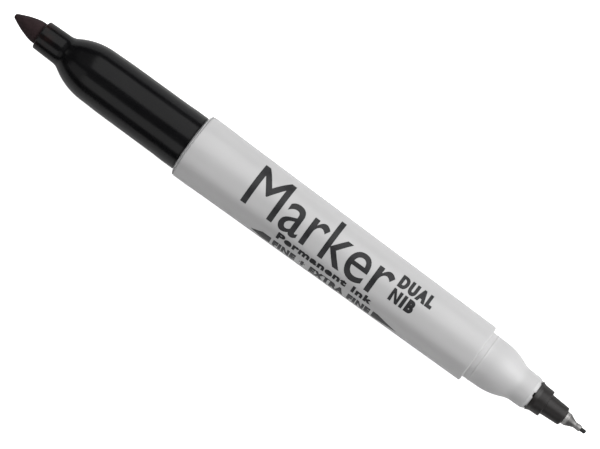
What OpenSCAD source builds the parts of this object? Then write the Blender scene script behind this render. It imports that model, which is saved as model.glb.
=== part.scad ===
// Twin tip felt marker, uncapped: a fine bullet nib at one end, a metal-clad
// ultra fine point at the other, and one fibre ink reservoir feeding both.
//
// The marker lies along X with its fine nib towards -X. The origin is under the
// middle of its length, at the height of the surface that the barrel rests on.
// Every outline is drawn in stations: [distance from the fine nib's end, radius].

/* [Barrel] */
// Largest diameter of the barrel, at its mouth
barrel_d = 12.7; // [12.6:0.1:13]
// Diameter of the barrel behind its thicker mouth
barrel_waist_d = 12.5; // [12.3:0.05:12.55]
// Length of that thicker mouth
mouth_len = 3.4; // [3:0.2:8]
// Diameter of the barrel where the nose steps down
barrel_end_d = 11.36; // [10.8:0.02:11.8]
// Length of the barrel from its mouth to that step
barrel_len = 62.75; // [60:0.25:80]
// Bore that takes the section's plug
plug_d = 10; // [9.8:0.1:10.2]
// Bore around the reservoir, next to the plug
bore_d = 9.5; // [9.4:0.1:9.6]
// The same bore at the nose end, smaller by its moulding draft
bore_end_d = 9.1; // [8.9:0.1:9.3]
// Number of ribs that centre the reservoir
rib_count = 6; // [4:1:8]

/* [Nose] */
// Diameter of the nose, where the ultra fine cap seats
nose_d = 9.5; // [9.3:0.1:9.8]
// Length of the straight seat for that cap
nose_seat_len = 0.95; // [0.7:0.05:1.3]
// Height of the bead that the cap snaps over
bead_h = 0.04; // [0.02:0.01:0.05]
// Diameter of the spout that grips the point holder
spout_d = 6.5; // [6.3:0.05:6.6]

/* [Fine end] */
// Length of nib that shows in front of the neck
nib_reach = 5.9; // [5:0.05:7]
// Diameter of the nib
nib_d = 4.25; // [4:0.05:4.3]
// Whole length of the nib
nib_len = 33; // [31:0.5:36]
// Diameter of the neck at its rim
neck_d = 5.62; // [5.5:0.02:5.7]
// Diameter of the neck where the shoulder starts
neck_root_d = 5.84; // [5.72:0.02:5.9]
// Length of the neck, from its rim to the shoulder
neck_len = 4.4; // [4:0.05:5]
// Diameter of the grip next to the shoulder
grip_d = 10.56; // [10.3:0.02:10.6]
// Diameter of the grip under the fingers
grip_swell_d = 10.76; // [10.7:0.02:10.8]
// Diameter of the land that the fine cap seals on
land_d = 11; // [10.9:0.02:11.04]
// Length of that land
land_len = 3; // [2:0.25:4]
// Length of the grip from the shoulder to the barrel, land included
grip_len = 20.55; // [18:0.05:26]
// Length of the plug inside the barrel
plug_len = 11; // [9:0.5:12]

/* [Ultra fine end] */
// Length of the holder's flange, in front of the spout
flange_len = 2.7; // [2.4:0.1:3]
// Diameter of the flange at the spout
flange_d = 6.14; // [5.6:0.02:6.2]
// Length of the narrow part of the holder
holder_len = 3.95; // [3.5:0.05:4.5]
// Diameter of that narrow part, next to the flange
holder_d = 4.08; // [3.9:0.02:4.2]
// Diameter of the ferrule's body, inside the holder
ferrule_d = 2.42; // [2.36:0.02:2.5]
// Diameter of the ferrule's ring, which stops against the holder's end
ring_d = 2.54; // [2.52:0.02:2.58]
// Length of ferrule that shows in front of the holder
ferrule_reach = 3.45; // [3.4:0.05:4.5]
// Diameter of the ferrule's tube
tube_d = 1.12; // [1.1:0.02:1.2]
// Diameter of the writing point
point_d = 0.78; // [0.6:0.02:0.8]
// Length of point that shows in front of the tube
point_reach = 1.1; // [0.8:0.05:1.3]

/* [Reservoir] */
// Diameter of the ink-filled fibre core
core_d = 8; // [7.8:0.1:8]
// Thickness of the film around it
film_t = 0.1; // [0.05:0.01:0.1]
// How far the nib and the wick reach into the core
pierce = 6; // [4:0.5:7]

/* [Hidden] */
$fn = 96;

// How finely an arc in an outline is divided, in degrees
arc_step = 4;
// Overlap of the cutting tools past the faces that they cut
cut = 1;

// Rounding radii of the shoulder, from the neck to the grip
shoulder_in_r = 2.64;
shoulder_out_r = 12.8;
// Rounding radii of the nose, from the cap seat to the spout
nose_out_r = 11.8;
nose_in_r = 3.8;
// Rounding of the neck's rim, and the lead-in that its bore has
rim_round = 0.2;
rim_lead = 0.12;
// Size of the barrel's bevelled mouth
mouth_bevel = [0.5, 0.74];
// Length over which the grip swells, and over which the thicker mouth fades into the barrel
swell_len = 3.6;
mouth_fade = 4;
// Lengths of the spout's bevel and of the flange's flare
spout_bevel = [0.7, 0.38];
flare_len = 0.75;
flange_end_d = 5.24;
holder_end_d = 3.62;
// Bevel at the holder's end: its length and how far it leaves the ferrule clear
holder_bevel = [0.25, 0.08];
// Vent slots: width and depth at the neck, in the spout's rim, and along the stem
vent_count = 4;
vent_w = 0.55;
vent_depth = 0.34;
rim_vent_count = 6;
rim_vent_w = 0.9;
rim_vent_depth = 0.25;
stem_vent_w = 0.6;
stem_vent_depth = 0.3;
// Where the first vent points, counted round the axis from straight up
vent_turn = -6;
// Running gaps around the nib, the wick, the reservoir and the point
slip = 0.02;
reservoir_slip = 0.04;
// Inside radii of the section and the nose in front of the reservoir's ends
stop_r = 3.6;
stem_r = 2.1;
stem_tail_r = 1.9;
wick_r = 0.95;
ferrule_wall = 0.2;
rib_w = 0.8;

// Stations along the axis, in millimetres from the end of the fine nib
shoulder_rise = (grip_d - neck_root_d) / 2;
shoulder_angle = acos(1 - shoulder_rise / (shoulder_in_r + shoulder_out_r));
shoulder_len = (shoulder_in_r + shoulder_out_r) * sin(shoulder_angle);
// The seat's root is a little smaller than the seat, where the nose starts to curve in
nose_root_r = nose_d / 2 - 0.05;
nose_fall = nose_root_r - spout_d / 2;
nose_angle = acos(1 - nose_fall / (nose_out_r + nose_in_r));
nose_len = (nose_out_r + nose_in_r) * sin(nose_angle);
at_rim = nib_reach;
at_shoulder = at_rim + neck_len;
at_grip = at_shoulder + shoulder_len;
at_mouth = at_grip + grip_len;
at_land = at_mouth - land_len;
at_plug_end = at_mouth + plug_len;
at_step = at_mouth + barrel_len;
at_bead = at_step + nose_seat_len + 0.25;
at_nose = at_step + 2.8;
at_spout = at_nose + nose_len;
at_spout_end = at_spout + 2.8;
at_flange_end = at_spout_end + flange_len;
at_holder_end = at_flange_end + holder_len;
at_tube_end = at_holder_end + ferrule_reach;
overall = at_tube_end + point_reach;
at_core = nib_len - pierce - 1;
at_core_end = at_step - 3.8;
at_stem_tail = at_spout_end - 8;
at_ferrule_tail = at_holder_end - 7.2;
at_wick_end = at_holder_end - 1.2;
at_point_tail = at_wick_end - 3.5;
axis_h = barrel_d / 2;

// Points of the arc of radius r that rounds the corner q between p and s
function corner(p, q, s, r) =
    let (
        u = (p - q) / norm(p - q),
        v = (s - q) / norm(s - q),
        half = acos(u * v) / 2,
        reach = r / tan(half),
        middle = q + (u + v) / norm(u + v) * r / sin(half),
        from = q + u * reach - middle,
        to = q + v * reach - middle,
        a = atan2(from[1], from[0]),
        turn = atan2(from[0] * to[1] - from[1] * to[0], from * to),
        n = max(2, ceil(abs(turn) / arc_step))
    )
    [for (i = [0 : n]) middle + r * [cos(a + turn * i / n), sin(a + turn * i / n)]];

// An outline from its corners, each [station, radius] or [station, radius, rounding]
function outline(c) = [
    for (i = [0 : len(c) - 1])
        let (
            n = len(c),
            p = c[(i + n - 1) % n],
            q = c[i],
            s = c[(i + 1) % n]
        )
        each len(q) == 2 ? [q] : corner([p[0], p[1]], [q[0], q[1]], [s[0], s[1]], q[2])
];

// Points of an S-bend from p that changes the radius by rise, with two arcs r1 and r2
function s_bend(p, rise, r1, r2) =
    let (
        way = sign(rise),
        a = acos(1 - abs(rise) / (r1 + r2)),
        n = ceil(a / arc_step) + 2,
        mid = p + [r1 * sin(a), way * r1 * (1 - cos(a))]
    )
    concat(
        [for (i = [0 : n]) let (t = a * i / n) p + r1 * [sin(t), way * (1 - cos(t))]],
        [for (i = [1 : n]) let (t = a * (n - i) / n)
            mid + r2 * [sin(a) - sin(t), way * (cos(t) - cos(a))]]
    );

// Places children drawn along Z, from station 0, on the marker's axis
module on_axis() {
    translate([-overall / 2, 0, axis_h]) rotate([0, 90, 0]) children();
}

// A solid turned from an outline of [station, radius] points
module turned(points) {
    rotate_extrude() polygon([for (p = points) [p[1], p[0]]]);
}

// A ring of radial bars between two radii and two stations
module radial_bars(count, w, r_from, r_to, from, to, turn = 0) {
    for (i = [0 : count - 1])
        rotate([0, 0, 180 + turn + i * 360 / count])
            translate([r_from, -w / 2, from]) cube([r_to - r_from, w, to - from]);
}

module barrel() {
    r = barrel_d / 2;
    seat_r = nose_d / 2;
    profile = outline(concat(
        [
            [at_mouth, plug_d / 2],
            [at_mouth, r - mouth_bevel[1], 0.1],
            [at_mouth + mouth_bevel[0], r, 0.35],
            [at_mouth + mouth_len, r, 20],
            [at_mouth + mouth_len + mouth_fade, barrel_waist_d / 2, 20],
            [at_step, barrel_end_d / 2, 0.22],
            [at_step, seat_r],
            [at_step + nose_seat_len, seat_r],
            [at_bead, seat_r + bead_h, 0.3],
            [at_bead + 0.25, seat_r - 0.01],
        ],
        s_bend([at_nose, nose_root_r], -nose_fall, nose_out_r, nose_in_r),
        [
            [at_spout_end - spout_bevel[0], spout_d / 2 - 0.05, 0.1],
            [at_spout_end, spout_d / 2 - spout_bevel[1], 0.05],
            [at_spout_end, stem_r],
            [at_stem_tail + 2.5, stem_r],
            [at_stem_tail - 1, stop_r],
            [at_core_end, stop_r],
            [at_core_end, bore_end_d / 2],
            [at_plug_end, bore_d / 2],
            [at_plug_end, plug_d / 2],
        ]
    ));
    color([0.76, 0.76, 0.77]) on_axis() {
        difference() {
            turned(profile);
            radial_bars(rim_vent_count, rim_vent_w, 0, r,
                at_spout_end - rim_vent_depth, at_spout_end + cut);
        }
        radial_bars(rib_count, rib_w, core_d / 2 + film_t + slip, bore_d / 2 + 0.05,
            at_plug_end + 2, at_core_end + 0.5);
    }
}

module fine_section() {
    neck_r = neck_d / 2;
    lip_r = nib_d / 2 + slip;
    seat_r = core_d / 2 + film_t + reservoir_slip;
    profile = outline(concat(
        [
            [at_rim + rim_lead, lip_r],
            [at_rim, lip_r + rim_lead],
            [at_rim, neck_r, rim_round],
        ],
        s_bend([at_shoulder, neck_root_d / 2], shoulder_rise,
            shoulder_in_r, shoulder_out_r),
        [
            [at_grip + swell_len, grip_swell_d / 2, 20],
            [at_land - 0.3, land_d / 2 - 0.07, 0.4],
            [at_land, land_d / 2, 0.4],
            [at_mouth, land_d / 2],
            [at_mouth, plug_d / 2],
            [at_plug_end, plug_d / 2, 0.3],
            [at_plug_end, seat_r],
            [at_core, seat_r],
            [at_core, stop_r],
            [at_shoulder + 4.6, stop_r],
            [at_shoulder + 1.6, lip_r],
        ]
    ));
    color([0.07, 0.07, 0.075]) on_axis() difference() {
        turned(profile);
        radial_bars(vent_count, vent_w, 0, nib_d / 2 + vent_depth,
            at_rim - cut, at_shoulder + 2.2, vent_turn);
    }
}

module fine_nib() {
    r = nib_d / 2;
    color([0.16, 0.14, 0.14]) on_axis() turned(outline([
        [0, 0],
        [0, 0.38, 0.45],
        [2.2, 1.43, 10],
        [4.6, r, 4],
        [nib_len - 3, r, 2],
        [nib_len, 1.2, 0.3],
        [nib_len, 0],
    ]));
}

module reservoir_core() {
    color([0.16, 0.16, 0.2]) on_axis() turned([
        [nib_len, 0],
        [nib_len, nib_d / 2],
        [at_core, nib_d / 2],
        [at_core, core_d / 2],
        [at_core_end, core_d / 2],
        [at_core_end, wick_r],
        [at_core_end - pierce, wick_r],
        [at_core_end - pierce, 0],
    ]);
}

module reservoir_film() {
    color([0.85, 0.87, 0.9, 0.5]) on_axis() turned([
        [at_core, core_d / 2],
        [at_core, core_d / 2 + film_t],
        [at_core_end, core_d / 2 + film_t],
        [at_core_end, core_d / 2],
    ]);
}

module point_wick() {
    color([0.2, 0.2, 0.22]) on_axis() turned([
        [at_core_end - pierce, 0],
        [at_core_end - pierce, wick_r - 0.45],
        [at_core_end - pierce + 1.5, wick_r],
        [at_wick_end, wick_r],
        [at_wick_end, point_d / 2],
        [at_point_tail, point_d / 2],
        [at_point_tail, 0],
    ]);
}

module point_holder() {
    body_r = ferrule_d / 2;
    profile = outline([
        [at_stem_tail, wick_r + slip],
        [at_stem_tail, stem_tail_r, 0.2],
        [at_stem_tail + 2.4, stem_tail_r],
        [at_stem_tail + 2.8, stem_r],
        [at_spout_end, stem_r],
        [at_spout_end, flange_d / 2, 0.06],
        [at_spout_end + flare_len, flange_end_d / 2 + 0.04, 1],
        [at_flange_end, flange_end_d / 2, 0.08],
        [at_flange_end, holder_d / 2],
        [at_holder_end - holder_bevel[0], holder_end_d / 2, 0.15],
        [at_holder_end, body_r + holder_bevel[1], 0.03],
        [at_holder_end, body_r],
        [at_ferrule_tail, body_r],
        [at_ferrule_tail, wick_r + slip],
    ]);
    color([0.2, 0.2, 0.2]) on_axis() difference() {
        turned(profile);
        // Air runs along the stem, as far as the flange
        radial_bars(2, stem_vent_w, stem_r - stem_vent_depth, stem_r + cut,
            at_stem_tail - cut, at_spout_end - 0.01, vent_turn);
    }
}

module point_ferrule() {
    body_r = ferrule_d / 2;
    ring_r = ring_d / 2;
    tube_r = tube_d / 2;
    bore_r = wick_r + 0.01;
    lip_r = point_d / 2 + 0.01;
    taper_start = at_holder_end + 0.7;
    taper_end = at_holder_end + 2.2;
    color([0.72, 0.72, 0.7]) on_axis() turned(outline([
        [at_ferrule_tail, bore_r],
        [at_ferrule_tail, body_r],
        [at_holder_end, body_r],
        [at_holder_end, ring_r],
        [taper_start, ring_r - 0.02, 0.2],
        [taper_start + 0.85, tube_r + 0.26, 1],
        [taper_end, tube_r + 0.02, 0.8],
        [at_tube_end - 1, tube_r + 0.01],
        [at_tube_end - 0.75, tube_r + 0.05, 0.3],
        [at_tube_end, tube_r + 0.02, 0.08],
        [at_tube_end, lip_r],
        [taper_end - 0.1, lip_r],
        [taper_start, bore_r],
    ]));
}

module ultra_fine_point() {
    r = point_d / 2;
    color([0.13, 0.13, 0.13]) on_axis() turned(outline([
        [at_point_tail, 0],
        [at_point_tail, r],
        [overall, r, r * 0.75],
        [overall, 0],
    ]));
}

barrel();
fine_section();
fine_nib();
reservoir_core();
reservoir_film();
point_wick();
point_holder();
point_ferrule();
ultra_fine_point();
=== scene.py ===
"""A twin tip felt marker, uncapped, on a white table: turned shells, fibre tips, printing and light."""

import math

import bmesh
import bpy
from mathutils import Matrix, Vector, noise


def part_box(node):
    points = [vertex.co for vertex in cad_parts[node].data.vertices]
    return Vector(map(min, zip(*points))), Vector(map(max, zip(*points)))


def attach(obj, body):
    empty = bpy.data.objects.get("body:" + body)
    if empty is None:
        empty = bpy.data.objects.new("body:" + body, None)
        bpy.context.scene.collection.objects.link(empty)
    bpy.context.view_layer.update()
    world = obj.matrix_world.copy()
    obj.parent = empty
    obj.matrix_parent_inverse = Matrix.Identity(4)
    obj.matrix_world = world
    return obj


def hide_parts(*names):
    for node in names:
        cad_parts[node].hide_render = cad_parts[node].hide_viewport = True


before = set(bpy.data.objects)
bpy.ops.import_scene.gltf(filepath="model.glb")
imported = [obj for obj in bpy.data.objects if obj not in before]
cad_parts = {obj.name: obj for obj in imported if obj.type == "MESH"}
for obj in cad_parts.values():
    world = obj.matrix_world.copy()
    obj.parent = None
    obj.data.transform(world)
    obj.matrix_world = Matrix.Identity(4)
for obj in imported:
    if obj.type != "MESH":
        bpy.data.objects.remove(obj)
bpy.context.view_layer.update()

MM = 0.001

# ---------------------------------------------------------------- the frame's stations and sizes

# Stations are millimetres along the marker from the fine nib's end; radii are millimetres too
START_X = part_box("fine_nib")[0].x
AXIS_Z = (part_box("barrel")[0].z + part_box("barrel")[1].z) / 2


def station(node, end):
    """Where a CAD node starts (end 0) or stops (end 1) along the marker."""
    return (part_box(node)[end].x - START_X) / MM


def radius(node):
    """A CAD node's largest radius."""
    low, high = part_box(node)
    return (high.y - low.y) / 2 / MM


RIM = station("fine_section", 0)
PLUG_END = station("fine_section", 1)
MOUTH = station("barrel", 0)
SPOUT_END = station("barrel", 1)
NIB_TAIL = station("fine_nib", 1)
CORE_START = station("reservoir_core", 0)
CORE_END = station("reservoir_core", 1)
STEM_TAIL = station("point_holder", 0)
HOLDER_END = station("point_holder", 1)
SLEEVE_TAIL = station("point_ferrule", 0)
TUBE_END = station("point_ferrule", 1)
POINT_TAIL = station("ultra_fine_point", 0)
POINT_END = station("ultra_fine_point", 1)

BARREL_R = radius("barrel")
LAND_R = radius("fine_section")
NIB_R = radius("fine_nib")
FLANGE_R = radius("point_holder")
RING_R = radius("point_ferrule")
SLEEVE_R = RING_R - 0.06
POINT_R = radius("ultra_fine_point")

# Radii of the places where one piece sits in another
PLUG_R = 5.0
STOP_R = 3.6
STEM_R = 2.1
WICK_R = 0.95

# The barrel's taper, from behind its thicker mouth to the step where the nose starts
STEP = MOUTH + 62.75
WAIST = MOUTH + 7.4
WAIST_R = 6.25
STEP_R = 5.68

# Vents: slots beside the nib and notches in the spout's rim
VENT_TURN = math.radians(-6)
NECK_VENTS = 4
NECK_VENT_WIDTH = 0.55
NECK_VENT_DEPTH = 0.34
SPOUT_VENTS = 6
SPOUT_VENT_WIDTH = 0.9
SPOUT_VENT_DEPTH = 0.25

SEGMENTS = 192

# ---------------------------------------------------------------- camera


def add_camera():
    """Almost straight down on the marker, turned so that it lies across the picture."""
    distance = 0.63
    picture_width = 0.1061
    lean = math.radians(3.1)
    roll = math.radians(36.2)
    target = Vector((0.000355, -0.00011, AXIS_Z))
    data = bpy.data.cameras.new("camera")
    data.sensor_width = 36
    data.lens = data.sensor_width * distance / picture_width
    data.clip_start, data.clip_end = 0.01, 20
    camera = bpy.data.objects.new("camera", data)
    bpy.context.scene.collection.objects.link(camera)
    back = Vector((math.sin(lean), 0, math.cos(lean)))
    ahead = Vector((math.cos(lean), 0, -math.sin(lean)))
    across = back.cross(ahead)
    right = math.cos(roll) * ahead + math.sin(roll) * across
    up = back.cross(right)
    camera.matrix_world = Matrix.Translation(target + back * distance) @ Matrix(
        (right, up, back)
    ).transposed().to_4x4()
    bpy.context.scene.camera = camera


add_camera()

# ---------------------------------------------------------------- outlines

ARC_STEP = math.radians(7)


def corner(before, at, after, r):
    """Points of the arc of radius r that rounds a corner of an outline."""
    u = (before - at).normalized()
    v = (after - at).normalized()
    half = u.angle(v) / 2
    middle = at + (u + v).normalized() * (r / math.sin(half))
    start = at + u * (r / math.tan(half)) - middle
    turn = start.angle_signed(at + v * (r / math.tan(half)) - middle)
    count = max(2, math.ceil(abs(turn) / ARC_STEP))
    return [middle + Matrix.Rotation(-turn * i / count, 2) @ start for i in range(count + 1)]


def outline(corners):
    """A closed outline from its corners, each (station, radius) or (station, radius, rounding)."""
    points = []
    for i, c in enumerate(corners):
        at = Vector(c[:2])
        if len(c) == 2:
            points.append(at)
            continue
        before = Vector(corners[i - 1][:2])
        after = Vector(corners[(i + 1) % len(corners)][:2])
        points += corner(before, at, after, c[2])
    return points


def s_bend(start, end, share):
    """Points of two arcs that lead level from start to end; share is the first arc's part of the bend."""
    start, end = Vector(start), Vector(end)
    run, rise = end - start
    total = (run * run + rise * rise) / (2 * abs(rise))
    angle = math.asin(run / total)
    first = total * share
    second = total - first
    way = math.copysign(1, rise)
    steps = 12
    points = []
    for i in range(steps + 1):
        t = angle * i / steps
        points.append(start + Vector((math.sin(t), way * (1 - math.cos(t)))) * first)
    for i in range(steps - 1, -1, -1):
        t = angle * i / steps
        points.append(end - Vector((math.sin(t), way * (1 - math.cos(t)))) * second)
    return [(p.x, p.y) for p in points]


def divided(points, longest):
    """The same closed outline with its long stretches cut into lengths of at most longest."""
    result = []
    for p, q in zip(points, points[1:] + points[:1]):
        count = max(1, math.ceil((q - p).length / longest))
        result += [p.lerp(q, i / count) for i in range(count)]
    return result


# ---------------------------------------------------------------- turned pieces


def place(s, r, turn):
    """The point at a station and radius, turned about the axis from straight up towards +Y."""
    return Vector((START_X + s * MM, r * math.sin(turn) * MM, AXIS_Z + r * math.cos(turn) * MM))


def add_object(name, bm, material, sharp=math.radians(35)):
    """Makes a mesh object that moves with the marker, smooth but for its sharp edges."""
    bmesh.ops.recalc_face_normals(bm, faces=bm.faces)
    for face in bm.faces:
        face.smooth = True
    mesh = bpy.data.meshes.new(name)
    bm.to_mesh(mesh)
    bm.free()
    mesh.set_sharp_from_angle(angle=sharp)
    mesh.materials.append(material)
    piece = bpy.data.objects.new(name, mesh)
    bpy.context.scene.collection.objects.link(piece)
    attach(piece, "root")
    return piece


def turned(name, points, material, shape=None, segments=SEGMENTS):
    """A closed solid turned from a closed outline. shape(s, r, turn) may move each point."""
    bm = bmesh.new()
    rings = []
    for p in points:
        if p.y < 1e-6:
            rings.append([bm.verts.new(place(p.x, 0, 0))])
            continue
        ring = []
        for i in range(segments):
            turn = 2 * math.pi * i / segments
            s, r = shape(p.x, p.y, turn) if shape else (p.x, p.y)
            ring.append(bm.verts.new(place(s, r, turn)))
        rings.append(ring)
    for a, b in zip(rings, rings[1:] + rings[:1]):
        for i in range(segments):
            j = (i + 1) % segments
            if len(a) > 1 and len(b) > 1:
                bm.faces.new((a[i], a[j], b[j], b[i]))
            elif len(a) > 1:
                bm.faces.new((a[i], a[j], b[0]))
            elif len(b) > 1:
                bm.faces.new((a[0], b[j], b[i]))
    return add_object(name, bm, material)


def in_slot(r, turn, count, width, start=0.0):
    """Whether a point at radius r is inside one of a ring of radial slots."""
    pitch = 2 * math.pi / count
    off = (turn - start + pitch / 2) % pitch - pitch / 2
    return abs(off) * r < width / 2


def barrel(material):
    """The grey barrel: a lip at its mouth, a long taper, a step, the cap's seat, a bead, and the nose."""
    socket_r = PLUG_R + 0.02
    bore_r = 4.75
    bore_end_r = 4.55
    groove_r = BARREL_R - 0.28
    seat_r = 4.75
    bead = STEP + 1.2
    nose = STEP + 2.8
    spout = SPOUT_END - 2.8
    spout_r = 3.25
    points = outline(
        [
            (MOUTH, socket_r),
            (MOUTH, BARREL_R - 0.55, 0.1),
            (MOUTH + 0.26, BARREL_R - 0.06, 0.14),
            (MOUTH + 0.34, BARREL_R - 0.04, 0.03),
            (MOUTH + 0.4, groove_r, 0.03),
            (MOUTH + 0.5, groove_r, 0.03),
            (MOUTH + 0.57, BARREL_R, 0.05),
            (WAIST - 4, BARREL_R, 40),
            (WAIST, WAIST_R, 40),
            (STEP, STEP_R, 0.3),
            (STEP, seat_r, 0.06),
            (bead - 0.32, seat_r, 0.05),
            (bead - 0.24, seat_r - 0.03, 0.05),
            (bead - 0.16, seat_r + 0.02, 0.04),
            (bead, seat_r + 0.04, 0.15),
            (bead + 0.25, seat_r - 0.01, 0.2),
        ]
        + s_bend((nose, seat_r - 0.05), (spout, spout_r), 0.756)
        + [
            (SPOUT_END - 0.7, spout_r - 0.05, 0.3),
            (SPOUT_END, spout_r - 0.38, 0.08),
            (SPOUT_END, STEM_R, 0.05),
            (STEM_TAIL + 2.5, STEM_R),
            (STEM_TAIL - 1, STOP_R),
            (CORE_END, STOP_R),
            (CORE_END, bore_end_r),
            (PLUG_END, bore_r),
            (PLUG_END, socket_r),
        ]
    )
    start = SPOUT_END - 0.6

    def notch(s, r, turn):
        if s > start and in_slot(r, turn, SPOUT_VENTS, SPOUT_VENT_WIDTH):
            s = start + (s - start) * (1 - SPOUT_VENT_DEPTH / (SPOUT_END - start))
        return s, r

    return turned("barrel_shell", divided(points, 2.0), material, notch)


def fine_section(material):
    """The black section: neck, shoulder, grip, the land that the cap seals on, and the plug."""
    core_seat_r = 4.2
    neck_r = 2.81
    root_r = 2.92
    shoulder = RIM + 4.4
    grip = shoulder + 8.2
    grip_r = 5.28
    swell_r = 5.38
    land = MOUTH - 3
    seam_r = LAND_R - 0.12
    lip_r = NIB_R + 0.02
    slots_end = RIM + 6.5
    points = outline(
        [
            (RIM + 0.12, lip_r),
            (RIM, lip_r + 0.12, 0.04),
            (RIM, neck_r, 0.2),
        ]
        + s_bend((shoulder, root_r), (grip, grip_r), 0.171)
        + [
            (grip + 3.6, swell_r, 20),
            (land - 1.5, LAND_R - 0.07, 6),
            (land + 0.2, LAND_R - 0.01, 6),
            (MOUTH - 0.34, LAND_R - 0.01, 0.08),
            (MOUTH - 0.28, seam_r, 0.05),
            (MOUTH - 0.02, seam_r),
            (MOUTH - 0.02, PLUG_R, 0.05),
            (PLUG_END, PLUG_R, 0.3),
            (PLUG_END, core_seat_r),
            (CORE_START, core_seat_r),
            (CORE_START, STOP_R),
            (RIM + 9, STOP_R),
            (RIM + 6, lip_r),
        ]
    )

    def slots(s, r, turn):
        at_bore = s < slots_end and r < lip_r + 0.2
        if at_bore and in_slot(r, turn, NECK_VENTS, NECK_VENT_WIDTH, VENT_TURN):
            r += NECK_VENT_DEPTH
        return s, r

    return turned("fine_section_shell", divided(points, 1.5), material, slots)


def fibre_bumps(depth, across, along):
    """A shape function that raises and sinks a surface in streaks, as bundled fibres do."""

    def shape(s, r, turn):
        at = Vector((s / along, r * math.cos(turn) / across, r * math.sin(turn) / across))
        return s, r * (1 + depth / max(r, depth) * noise.noise(at))

    return shape


def fine_nib(material):
    """The bullet nib, a rod of fibres that runs back into the reservoir."""
    rod_r = NIB_R - 0.01
    points = outline(
        [
            (0, 0),
            (0.02, 0.38, 0.45),
            (2.2, 1.42, 10),
            (4.6, rod_r, 4),
            (NIB_TAIL - 3, rod_r, 2),
            (NIB_TAIL, 1.2, 0.3),
            (NIB_TAIL, 0),
        ]
    )
    return turned("fine_nib_felt", divided(points, 0.35), material, fibre_bumps(0.018, 0.16, 2.5))


def point_holder(material):
    """The satin holder: its stem in the nose, a flared flange, and the narrow part round the sleeve."""
    tail_r = 1.9
    wick_bore_r = WICK_R + 0.02
    sleeve_bore_r = SLEEVE_R + 0.01
    flange = SPOUT_END + 0.015
    flange_end = HOLDER_END - 3.95
    points = outline(
        [
            (STEM_TAIL, wick_bore_r),
            (STEM_TAIL, tail_r, 0.2),
            (STEM_TAIL + 2.4, tail_r),
            (STEM_TAIL + 2.8, STEM_R),
            (flange, STEM_R),
            (flange, FLANGE_R, 0.05),
            (SPOUT_END + 0.8, 2.68, 1),
            (flange_end - 0.1, 2.62, 0.08),
            (flange_end, 2.5, 0.05),
            (flange_end, 2.04, 0.05),
            (HOLDER_END - 0.25, 1.81, 0.15),
            (HOLDER_END, SLEEVE_R + 0.08, 0.04),
            (HOLDER_END, SLEEVE_R + 0.02),
            (HOLDER_END - 0.1, sleeve_bore_r),
            (SLEEVE_TAIL, sleeve_bore_r),
            (SLEEVE_TAIL, wick_bore_r),
        ]
    )
    return turned("point_holder_shell", divided(points, 1.0), material)


def point_ferrule(material):
    """The drawn steel sleeve: a ring against the holder, a hollow cone, and the tube round the point."""
    bore_r = WICK_R + 0.01
    tube_r = 0.56
    lip_r = POINT_R + 0.01
    taper = HOLDER_END + 0.7
    neck = HOLDER_END + 2.2
    points = outline(
        [
            (SLEEVE_TAIL, bore_r),
            (SLEEVE_TAIL, SLEEVE_R),
            (HOLDER_END, SLEEVE_R),
            (HOLDER_END + 0.05, RING_R, 0.03),
            (HOLDER_END + 0.34, RING_R, 0.1),
            (HOLDER_END + 0.42, RING_R - 0.05, 0.05),
            (HOLDER_END + 0.5, RING_R - 0.01, 0.1),
            (taper, RING_R - 0.02, 0.2),
            (taper + 0.85, tube_r + 0.26, 1.0),
            (neck, tube_r + 0.02, 0.8),
            (TUBE_END - 1, tube_r + 0.01, 0.5),
            (TUBE_END - 0.75, tube_r + 0.05, 0.3),
            (TUBE_END, tube_r + 0.02, 0.08),
            (TUBE_END, lip_r, 0.02),
            (neck - 0.1, lip_r),
            (taper, bore_r),
        ]
    )
    return turned("point_ferrule_sleeve", divided(points, 0.6), material, segments=128)


def ultra_fine_point(material):
    """The thin writing point, a hard fibre with a rounded end."""
    points = outline(
        [
            (POINT_TAIL, 0),
            (POINT_TAIL, POINT_R),
            (POINT_END, POINT_R, POINT_R * 0.75),
            (POINT_END, 0),
        ]
    )
    return turned(
        "ultra_fine_point_fibre",
        divided(points, 0.25),
        material,
        fibre_bumps(0.008, 0.12, 1.2),
        segments=64,
    )


# ---------------------------------------------------------------- printing

# The ink's thickness, and how much of it stands above the barrel
PRINT_DEPTH = 0.03
PRINT_LIFT = 0.015
# Areas (from, to, low, high) are laid out flat: along the barrel, and round it from straight up towards
# +Y, where a turn is an arc on this radius
REFERENCE_R = 6.0


def barrel_r(s):
    """The barrel's radius at a station on its taper."""
    return WAIST_R + (STEP_R - WAIST_R) * (s - WAIST) / (STEP - WAIST)


def flat_mesh(curve):
    """The filled outline of a flat curve, as a mesh."""
    drawn = bpy.data.objects.new("lettering", curve)
    bpy.context.scene.collection.objects.link(drawn)
    bpy.context.view_layer.update()
    evaluated = drawn.evaluated_get(bpy.context.evaluated_depsgraph_get())
    mesh = bpy.data.meshes.new_from_object(evaluated)
    bpy.data.objects.remove(drawn)
    return mesh


def lettering(body, spacing):
    """A line of plain letters, as a flat mesh."""
    curve = bpy.data.curves.new("lettering", "FONT")
    curve.body = body
    curve.size = 1
    curve.space_character = spacing
    curve.resolution_u = 8
    return flat_mesh(curve)


def flat_shape(corners):
    """A filled flat shape from its corners."""
    curve = bpy.data.curves.new("shape", "CURVE")
    curve.dimensions = "2D"
    curve.fill_mode = "BOTH"
    spline = curve.splines.new("POLY")
    spline.points.add(len(corners) - 1)
    for point, (x, y) in zip(spline.points, corners):
        point.co = (x, y, 0, 1)
    spline.use_cyclic_u = True
    return flat_mesh(curve)


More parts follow.
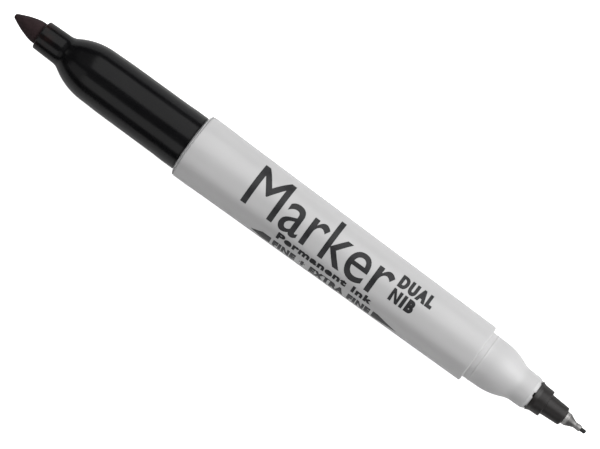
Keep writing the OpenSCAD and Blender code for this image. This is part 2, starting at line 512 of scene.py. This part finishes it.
def fit(bm, area):
    """Stretches a flat mesh to fill an area."""
    left, right, low, high = area
    xs = [v.co.x for v in bm.verts]
    ys = [v.co.y for v in bm.verts]
    x_from, x_to = min(xs), max(xs)
    y_from, y_to = min(ys), max(ys)
    for v in bm.verts:
        v.co.x = left + (right - left) * (v.co.x - x_from) / (x_to - x_from)
        v.co.y = low + (high - low) * (v.co.y - y_from) / (y_to - y_from)
        v.co.z = 0


def thicken(bm, by):
    """Moves the rim of a flat triangulated mesh outwards, which makes its strokes heavier."""
    # Keeps the points of sharp corners from running far out
    least = 0.6
    moves = []
    for v in bm.verts:
        rim = [e for e in v.link_edges if e.is_boundary]
        if len(rim) != 2:
            continue
        sides = []
        for e in rim:
            along = (e.verts[1].co - e.verts[0].co).normalized()
            side = Vector((along.y, -along.x, 0))
            inside = e.link_faces[0].calc_center_median() - e.verts[0].co
            sides.append(-side if side.dot(inside) > 0 else side)
        total = sides[0] + sides[1]
        moves.append((v, total * (by / max(least, 1 + sides[0].dot(sides[1])))))
    for v, move in moves:
        v.co += move


def printed(name, mesh, area, bold, material):
    """A layer of ink on the barrel: a flat mesh fitted into area, its strokes heavier by bold all round."""
    left, right, low, high = area
    strip = 0.4
    bm = bmesh.new()
    bm.from_mesh(mesh)
    bmesh.ops.remove_doubles(bm, verts=bm.verts, dist=1e-6)
    bmesh.ops.triangulate(bm, faces=bm.faces)
    fit(bm, (left + bold, right - bold, low + bold, high - bold))
    thicken(bm, bold)
    # Cut into strips, so that it can bend round the barrel
    for k in range(1, int((high - low) / strip) + 1):
        cut = bm.verts[:] + bm.edges[:] + bm.faces[:]
        bmesh.ops.bisect_plane(bm, geom=cut, plane_co=(0, low + k * strip, 0), plane_no=(0, 1, 0))
    bmesh.ops.triangulate(bm, faces=bm.faces)
    made = bmesh.ops.extrude_face_region(bm, geom=bm.faces[:], use_keep_orig=True)
    for v in made["geom"]:
        if isinstance(v, bmesh.types.BMVert):
            v.co.z = PRINT_DEPTH
    for v in bm.verts:
        lift = v.co.z + PRINT_LIFT - PRINT_DEPTH
        v.co = place(v.co.x, barrel_r(v.co.x) + lift, v.co.y / REFERENCE_R)
    return add_object(name, bm, material, sharp=math.radians(60))


def print_word(material):
    """The large word."""
    return printed("print_word", lettering("Marker", 1), (52.2, 82.4, -3.0, 5.4), 0.06, material)


def print_block(material):
    """Two short heavy words, one above the other."""
    upper = lettering("DUAL", 1.35)
    lower = lettering("NIB", 1.35)
    return [
        printed("print_block_upper", upper, (83.2, 90.4, 1.25, 4.0), 0.21, material),
        printed("print_block_lower", lower, (83.2, 88.1, -1.65, 0.85), 0.21, material),
    ]


def print_line(material):
    """The small line under the large word."""
    letters = lettering("Permanent Ink", 1.12)
    return printed("print_line", letters, (61.0, 81.4, -4.95, -3.45), 0.14, material)


def print_banner(material):
    """A row of heavy letters between a short nib shape and a long one."""
    low, high = -7.85, -5.75
    letters = lettering("FINE + EXTRA FINE", 1.25)
    short_nib = flat_shape([(0, 0.4), (2.3, 1), (4.3, 1), (4.3, 0), (2.3, 0)])
    long_nib = flat_shape([(0, 0), (0, 1), (1, 1), (5.5, 0.35), (1, 0)])
    return [
        printed("print_banner", letters, (61.0, 82.0, low, high), 0.19, material),
        printed("print_short_nib", short_nib, (56.4, 60.5, low, high), 0, material),
        printed("print_long_nib", long_nib, (82.5, 87.9, low, high), 0, material),
    ]


# ---------------------------------------------------------------- materials


class Surface:
    """A procedural material under construction: one Principled shader and the nodes that feed it."""

    def __init__(self, name):
        self.material = bpy.data.materials.new(name)
        self.material.use_nodes = True
        self.tree = self.material.node_tree
        self.shader = self.tree.nodes["Principled BSDF"]
        self.places = self.tree.nodes.new("ShaderNodeTexCoord").outputs["Object"]

    def set(self, **values):
        for name, value in values.items():
            self.shader.inputs[name.replace("_", " ")].default_value = value

    def link(self, a, b):
        self.tree.links.new(a, b)

    def noise(self, size, stretch=(1, 1, 1), detail=3.0, roughness=0.5):
        """Noise with features of about size millimetres, longer along an axis whose stretch is over 1."""
        mapping = self.tree.nodes.new("ShaderNodeMapping")
        mapping.inputs["Scale"].default_value = [1 / (size * MM * k) for k in stretch]
        self.link(self.places, mapping.inputs["Vector"])
        node = self.tree.nodes.new("ShaderNodeTexNoise")
        node.inputs["Scale"].default_value = 1
        node.inputs["Detail"].default_value = detail
        node.inputs["Roughness"].default_value = roughness
        self.link(mapping.outputs["Vector"], node.inputs["Vector"])
        return node.outputs["Fac"]

    def spots(self, size, keep):
        """Small round specks about size millimetres apart; keep is how large each may be, from 0 to 1."""
        mapping = self.tree.nodes.new("ShaderNodeMapping")
        mapping.inputs["Scale"].default_value = [1 / (size * MM)] * 3
        self.link(self.places, mapping.inputs["Vector"])
        node = self.tree.nodes.new("ShaderNodeTexVoronoi")
        node.inputs["Scale"].default_value = 1
        self.link(mapping.outputs["Vector"], node.inputs["Vector"])
        return self.span(node.outputs["Distance"], keep, 0.0, 0.0, 1.0)

    def span(self, value, low, high, to_low, to_high):
        node = self.tree.nodes.new("ShaderNodeMapRange")
        for name, number in zip(("From Min", "From Max", "To Min", "To Max"), (low, high, to_low, to_high)):
            node.inputs[name].default_value = number
        self.link(value, node.inputs["Value"])
        return node.outputs["Result"]

    def along(self):
        """How far along the marker, in metres."""
        node = self.tree.nodes.new("ShaderNodeSeparateXYZ")
        self.link(self.places, node.inputs["Vector"])
        return node.outputs["X"]

    def times(self, a, b):
        node = self.tree.nodes.new("ShaderNodeMath")
        node.operation = "MULTIPLY"
        self.link(a, node.inputs[0])
        self.link(b, node.inputs[1])
        return node.outputs["Value"]

    def ramp(self, value, stops):
        node = self.tree.nodes.new("ShaderNodeValToRGB")
        marks = node.color_ramp.elements
        while len(marks) < len(stops):
            marks.new(0.5)
        for mark, (position, colour) in zip(marks, stops):
            mark.position = position
            mark.color = (*colour, 1)
        self.link(value, node.inputs["Fac"])
        return node.outputs["Color"]

    def blend(self, factor, a, b):
        node = self.tree.nodes.new("ShaderNodeMix")
        node.data_type = "RGBA"
        self.link(factor, node.inputs["Factor"])
        self.link(a, node.inputs["A"])
        if isinstance(b, tuple):
            node.inputs["B"].default_value = (*b, 1)
        else:
            self.link(b, node.inputs["B"])
        return node.outputs["Result"]

    def bump(self, height, depth, strength=1.0):
        """Adds height, of depth millimetres, over the bumps made so far."""
        node = self.tree.nodes.new("ShaderNodeBump")
        node.inputs["Distance"].default_value = depth * MM
        node.inputs["Strength"].default_value = strength
        self.link(height, node.inputs["Height"])
        if self.shader.inputs["Normal"].is_linked:
            self.link(self.shader.inputs["Normal"].links[0].from_socket, node.inputs["Normal"])
        self.link(node.outputs["Normal"], self.shader.inputs["Normal"])

    def colour(self, socket):
        self.link(socket, self.shader.inputs["Base Color"])

    def roughness(self, socket):
        self.link(socket, self.shader.inputs["Roughness"])


def barrel_plastic():
    """Light grey satin plastic: cloudy by a hair, with a fine moulded grain and a few handling marks."""
    s = Surface("barrel_plastic")
    s.set(IOR=1.49, Specular_IOR_Level=0.8)
    cloud = s.noise(9.0, (2, 1, 1), detail=2)
    grain = s.noise(0.25, detail=4, roughness=0.6)
    s.colour(s.ramp(cloud, [(0.3, (0.502, 0.5, 0.503)), (0.7, (0.527, 0.525, 0.528))]))
    scuffs = s.noise(0.5, (14, 1, 1), detail=5, roughness=0.65)
    step = START_X + STEP * MM
    more_at_nose = s.span(s.along(), step, step + 3 * MM, 1.0, 1.45)
    s.roughness(s.times(s.span(scuffs, 0.35, 0.7, 0.32, 0.37), more_at_nose))
    s.bump(cloud, 0.02, 0.5)
    s.bump(grain, 0.004, 0.6)
    s.bump(scuffs, 0.001, 0.2)
    return s.material


def section_plastic():
    """Black gloss plastic: a slightly uneven moulding, with a little dust, and ink smears by the nib."""
    s = Surface("section_plastic")
    s.set(IOR=1.49, Specular_IOR_Level=0.2)
    dust = s.spots(1.1, 0.05)
    cloud = s.noise(6.0, (2, 1, 1), detail=2)
    base = s.ramp(cloud, [(0.3, (0.004, 0.004, 0.0045)), (0.7, (0.007, 0.007, 0.0075))])
    dusty = s.blend(dust, base, (0.05, 0.05, 0.05))
    neck_end = START_X + (RIM + 3.5) * MM
    near_nib = s.span(s.along(), neck_end, neck_end - 2 * MM, 0.0, 1.0)
    smears = s.span(s.noise(1.6, (1.5, 1, 1), detail=3), 0.4, 0.6, 0.0, 1.0)
    s.colour(s.blend(s.times(near_nib, smears), dusty, (0.016, 0.008, 0.0075)))
    haze = s.noise(0.4, (10, 1, 1), detail=5, roughness=0.6)
    s.roughness(s.span(haze, 0.3, 0.7, 0.16, 0.24))
    s.bump(cloud, 0.03, 0.5)
    s.bump(haze, 0.002, 0.35)
    return s.material


def holder_plastic():
    """Black satin plastic with a fine spark-eroded grain."""
    s = Surface("holder_plastic")
    s.set(IOR=1.49, Specular_IOR_Level=0.45)
    cloud = s.noise(2.0, detail=3)
    grain = s.noise(0.12, detail=4, roughness=0.6)
    s.colour(s.ramp(cloud, [(0.3, (0.0065, 0.005, 0.0048)), (0.7, (0.0105, 0.0085, 0.008))]))
    s.roughness(s.span(grain, 0.3, 0.7, 0.4, 0.52))
    s.bump(grain, 0.006, 0.6)
    return s.material


def felt(name, dark, light, size):
    """Bonded fibres that run lengthwise, soaked with ink."""
    s = Surface(name)
    s.set(Sheen_Weight=0.04, Sheen_Roughness=0.5, Specular_IOR_Level=0.12)
    fibres = s.noise(size, (16, 1, 1), detail=6, roughness=0.7)
    patches = s.noise(size * 14, (2, 1, 1), detail=3)
    strands = s.ramp(fibres, [(0.3, dark), (0.72, light)])
    s.colour(s.blend(s.span(patches, 0.35, 0.75, 0.0, 0.6), strands, dark))
    s.roughness(s.span(fibres, 0.3, 0.7, 0.72, 0.95))
    s.bump(patches, size * 0.6, 0.4)
    s.bump(fibres, size * 0.5, 0.7)
    return s.material


def drawn_steel():
    """Stainless steel with fine lines along its length, its colour painted: a painted highlight on the
    ring, painted shade on the cone and a middle tone on the tube in between.
    """
    s = Surface("ferrule_steel")
    s.set(Metallic=1.0)
    lines = s.noise(0.06, (40, 1, 1), detail=5, roughness=0.6)
    cloud = s.noise(0.7, (2, 1, 1), detail=3)
    cone = START_X + (HOLDER_END + 0.5) * MM
    way = s.span(s.along(), cone, cone + 3 * MM, 0.0, 1.0)
    # Painted highlight and painted shade: the ring is coloured lighter and the cone darker than the same
    # steel, for how each catches the light.
    light, dark, middle = (0.45, 0.444, 0.439), (0.15, 0.147, 0.145), (0.31, 0.305, 0.302)
    painted_highlight_and_shade = s.ramp(way, [(0, light), (0.12, dark), (0.42, dark), (0.62, middle)])
    s.colour(s.blend(s.span(cloud, 0.35, 0.7, 0.0, 0.5), painted_highlight_and_shade, dark))
    s.roughness(s.span(lines, 0.3, 0.7, 0.46, 0.6))
    s.bump(lines, 0.003, 0.6)
    return s.material


def printing_ink():
    """Screen-printed dark grey ink, slightly uneven and duller than the plastic."""
    s = Surface("printing_ink")
    s.set(IOR=1.49, Specular_IOR_Level=0.4)
    wear = s.noise(0.35, detail=5, roughness=0.7)
    s.colour(s.ramp(wear, [(0.25, (0.010, 0.010, 0.0115)), (0.75, (0.022, 0.022, 0.024))]))
    s.roughness(s.span(wear, 0.3, 0.7, 0.34, 0.5))
    s.bump(wear, 0.003, 0.5)
    return s.material


def clear_film():
    """Thin wrapped film with faint lengthwise creases."""
    s = Surface("reservoir_wrap")
    s.set(Transmission_Weight=0.6, Base_Color=(0.8, 0.82, 0.85, 1))
    creases = s.noise(0.6, (12, 1, 1), detail=4)
    s.roughness(s.span(creases, 0.3, 0.7, 0.15, 0.3))
    s.bump(creases, 0.02, 0.5)
    return s.material


def white_table():
    """Glows pure white to look at, but throws only a little light on the marker."""
    s = Surface("table")
    s.set(Roughness=0.7, Specular_IOR_Level=0.2)
    s.set(Emission_Color=(1, 1, 1, 1), Base_Color=(0.8, 0.8, 0.8, 1))
    seen = s.tree.nodes.new("ShaderNodeLightPath").outputs["Is Camera Ray"]
    s.link(s.span(seen, 0.0, 1.0, 0.04, 1.0), s.shader.inputs["Emission Strength"])
    s.bump(s.noise(2.0, detail=4), 0.01, 0.2)
    return s.material


# ---------------------------------------------------------------- assembly


def build_marker():
    """Every visible piece in place of its CAD node, and the printing on the barrel."""
    made = [
        (barrel(barrel_plastic()), "barrel", "barrel_plastic"),
        (fine_section(section_plastic()), "fine_section", "section_plastic"),
        (
            fine_nib(felt("nib_felt", (0.014, 0.0085, 0.009), (0.052, 0.031, 0.034), 0.07)),
            "fine_nib",
            "nib_felt",
        ),
        (point_holder(holder_plastic()), "point_holder", "holder_plastic"),
        (point_ferrule(drawn_steel()), "point_ferrule", "ferrule_steel"),
        (
            ultra_fine_point(felt("point_fibre", (0.02, 0.02, 0.02), (0.055, 0.055, 0.055), 0.04)),
            "ultra_fine_point",
            "point_fibre",
        ),
    ]
    for piece, node, slot in made:
        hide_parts(node)
    ink = printing_ink()
    prints = [print_word(ink), *print_block(ink), print_line(ink), *print_banner(ink)]


def dress_inside():
    """The reservoir, its film and the wick stay as the CAD made them, with their own materials."""
    fibre = felt("reservoir_fibre", (0.012, 0.012, 0.018), (0.04, 0.04, 0.055), 0.1)
    finishes = {"reservoir_core": fibre, "point_wick": fibre, "reservoir_film": clear_film()}
    for node, material in finishes.items():
        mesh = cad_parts[node].data
        mesh.materials.clear()
        mesh.materials.append(material)


# ---------------------------------------------------------------- studio


def add_table():
    bm = bmesh.new()
    bmesh.ops.create_grid(bm, x_segments=8, y_segments=8, size=1.5)
    mesh = bpy.data.meshes.new("table")
    bm.to_mesh(mesh)
    bm.free()
    mesh.materials.append(white_table())
    table = bpy.data.objects.new("table", mesh)
    bpy.context.scene.collection.objects.link(table)
    table.location.z = -0.0001


def softbox(name, tilt, spread, ends, radiance):
    """A panel along X between its ends, tilt degrees from up towards +Y and spread degrees wide."""
    distance = 1.4
    width = 2 * distance * math.tan(math.radians(spread / 2))
    length = ends[1] - ends[0]
    data = bpy.data.lights.new(name, "AREA")
    data.shape = "RECTANGLE"
    data.size = length
    data.size_y = width
    data.energy = radiance * length * width * math.pi
    light = bpy.data.objects.new(name, data)
    bpy.context.scene.collection.objects.link(light)
    a = math.radians(tilt)
    along = Vector((1, 0, 0))
    out = Vector((0, math.sin(a), math.cos(a)))
    middle = Matrix.Translation(out * distance + along * (ends[0] + ends[1]) / 2)
    light.matrix_world = middle @ Matrix((along, out.cross(along), out)).transposed().to_4x4()


def light_studio():
    """Three panels behind the marker, a far one beyond its fine end, and two in front."""
    softbox("softbox_back", 40, 60, (-0.58, 0.6), 1.5)
    softbox("softbox_key", 35, 70, (0.6, 1.8), 5.7)
    softbox("softbox_fill", 30, 60, (-1.8, -0.58), 0.2)
    softbox("softbox_low", 20, 60, (-7.4, -5), 8)
    softbox("softbox_front", -44, 34, (-0.56, 0.6), 1.2)
    softbox("softbox_front_fill", -38, 44, (-1.8, -0.56), 0.65)


def white_surroundings():
    """White to look at, but without any light of its own."""
    world = bpy.data.worlds.new("studio")
    bpy.context.scene.world = world
    world.use_nodes = True
    background = world.node_tree.nodes["Background"]
    background.inputs["Color"].default_value = (1, 1, 1, 1)
    seen = world.node_tree.nodes.new("ShaderNodeLightPath").outputs["Is Camera Ray"]
    world.node_tree.links.new(seen, background.inputs["Strength"])


build_marker()
dress_inside()
add_table()
light_studio()
white_surroundings()
bpy.context.scene.view_settings.view_transform = "Standard"
